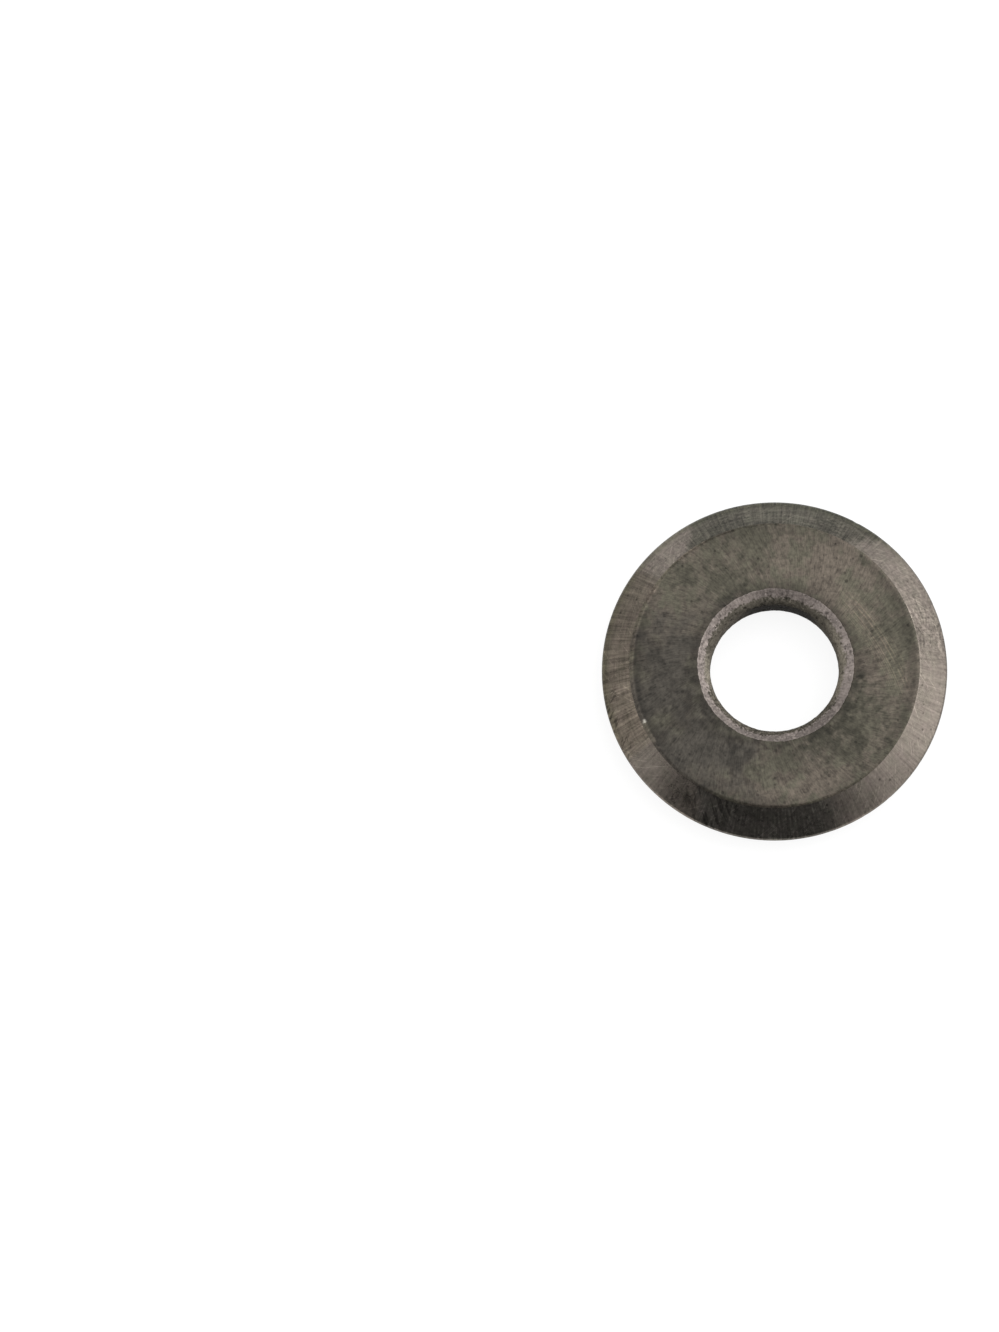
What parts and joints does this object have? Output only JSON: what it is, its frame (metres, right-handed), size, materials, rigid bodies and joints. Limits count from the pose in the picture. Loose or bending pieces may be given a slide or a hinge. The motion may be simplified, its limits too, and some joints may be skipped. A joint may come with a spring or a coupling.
{
  "type": "tile cutter wheel",
  "caption": "Thick carbide scoring wheel with a double-bevelled cutting edge, flat side faces and a plain centre bore with chamfered mouths.",
  "frame": {"origin": "centre of the bore, midway between the two faces, in the plane of the cutting edge", "axes": "+Z along the spin axis; the wheel lies on its lower face, and X and Y lie in the plane of the cutting edge"},
  "size_m": [0.022, 0.022, 0.0038],
  "materials": {
    "carbide": "dark grey-brown cemented carbide: bevels ground with fine radial lines, faces lapped and mottled, bore left as sintered"
  },
  "bodies": {
    "root": {"cutting_wheel": "carbide"}
  },
  "joints": []
}
